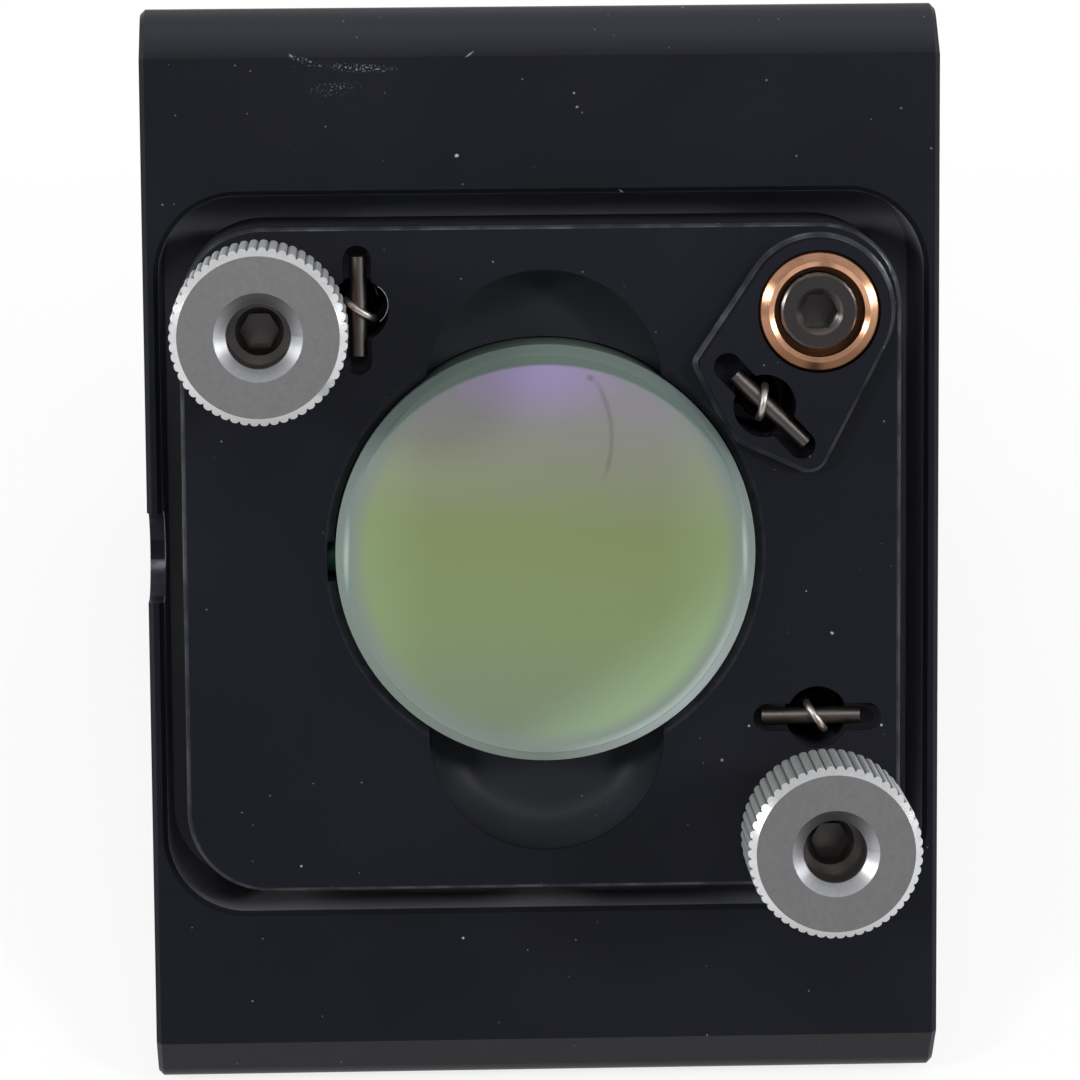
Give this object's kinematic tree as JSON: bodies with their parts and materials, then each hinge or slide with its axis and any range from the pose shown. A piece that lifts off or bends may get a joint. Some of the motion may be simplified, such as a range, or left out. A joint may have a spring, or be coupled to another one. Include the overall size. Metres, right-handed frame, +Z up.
{
  "type": "kinematic mirror mount",
  "caption": "Right-angle kinematic mirror mount: a cube with two crossed beam ports carries a round mirror at 45 degrees on a sprung plate tilted by knurled adjusters.",
  "frame": {"origin": "centre of the lower port's mouth, on the base plane", "axes": "+Z up, away from the lower port; +Y out of the rear port; the 45 degree face looks towards -Y and +Z, with +X to its right"},
  "size_m": [0.0484, 0.0518, 0.0519],
  "materials": {
    "black_anodised": "bead-blasted, black anodised, satin",
    "coated_glass": "polished, coated on the far face",
    "phosphor_bronze": "turned",
    "stainless_steel": "turned",
    "dark_steel": "plain",
    "hardened_steel": "polished",
    "clear_anodised": "satin, knurled",
    "nylon": "moulded"
  },
  "bodies": {
    "housing": {"housing": "black_anodised", "cone_seat": "hardened_steel", "groove_seat": "hardened_steel", "flat_seat": "hardened_steel", "housing_spring_pins": "dark_steel"},
    "pivot_ball": {"pivot_ball": "hardened_steel"},
    "plate": {"kinematic_plate": "black_anodised", "mirror": "coated_glass", "pivot_bushing": "phosphor_bronze", "adjuster_bushing_1": "phosphor_bronze", "adjuster_bushing_2": "phosphor_bronze", "plate_spring_pins": "dark_steel", "spring_1": "stainless_steel", "spring_2": "stainless_steel", "spring_3": "stainless_steel"},
    "pivot_screw": {"pivot_screw": "stainless_steel"},
    "ball_1": {"adjuster_ball_1": "hardened_steel"},
    "adjuster_1": {"adjuster_screw_1": "stainless_steel", "adjuster_knob_1": "clear_anodised"},
    "ball_2": {"adjuster_ball_2": "hardened_steel"},
    "adjuster_2": {"adjuster_screw_2": "stainless_steel", "adjuster_knob_2": "clear_anodised"},
    "lock_tip": {"mirror_lock_tip": "nylon"},
    "lock_screw": {"mirror_lock_screw": "dark_steel"}
  },
  "joints": [
    {"name": "plate_yaw", "type": "hinge", "parent": "housing", "child": "pivot_ball", "pos_m": [0.01652, 0.01451, 0.03085], "axis": [0, 0.7071, 0.7071], "range_deg": [-2.9, 2.9], "deforming": ["spring_1", "spring_3"]},
    {"name": "plate_pitch", "type": "hinge", "parent": "pivot_ball", "child": "plate", "pos_m": [0.01652, 0.01451, 0.03085], "axis": [0.9995, 0.0225, -0.0225], "range_deg": [-3.1, 3.1], "deforming": ["spring_2"]},
    {"name": "adjuster_1_slide", "type": "slide", "parent": "plate", "child": "ball_1", "axis": [0, -0.7071, 0.7071], "range_m": [-0.00165, 0.00165]},
    {"name": "adjuster_1_turn", "type": "hinge", "parent": "ball_1", "child": "adjuster_1", "pos_m": [-0.01687, 0.01376, 0.0316], "axis": [0, -0.7071, 0.7071], "range_deg": [-2340, 2340]},
    {"name": "adjuster_2_slide", "type": "slide", "parent": "plate", "child": "ball_2", "axis": [0, -0.7071, 0.7071], "range_m": [-0.00165, 0.00165]},
    {"name": "adjuster_2_turn", "type": "hinge", "parent": "ball_2", "child": "adjuster_2", "pos_m": [0.01652, -0.00732, 0.00902], "axis": [0, -0.7071, 0.7071], "range_deg": [-2340, 2340]},
    {"name": "pivot_screw_turn", "type": "hinge", "parent": "plate", "child": "pivot_screw", "pos_m": [0.01652, 0.01451, 0.03085], "axis": [0, -0.7071, 0.7071], "range_deg": [-45, 45]},
    {"name": "mirror_lock_slide", "type": "slide", "parent": "plate", "child": "lock_tip", "axis": [-1, 0, 0], "range_m": [0, 0.00063]},
    {"name": "mirror_lock_turn", "type": "hinge", "parent": "lock_tip", "child": "lock_screw", "pos_m": [-0.0175, -0.00184, 0.02599], "axis": [-1, 0, 0], "range_deg": [0, 360]}
  ],
  "couplings": [
    {"joint": "adjuster_1_turn", "follows": "adjuster_1_slide", "rad_per_m": 24737},
    {"joint": "plate_yaw", "follows": "adjuster_1_slide", "rad_per_m": -29.949},
    {"joint": "adjuster_2_turn", "follows": "adjuster_2_slide", "rad_per_m": 24737},
    {"joint": "plate_pitch", "follows": "adjuster_2_slide", "rad_per_m": 32.394},
    {"joint": "mirror_lock_turn", "follows": "mirror_lock_slide", "rad_per_m": 9894.8}
  ]
}
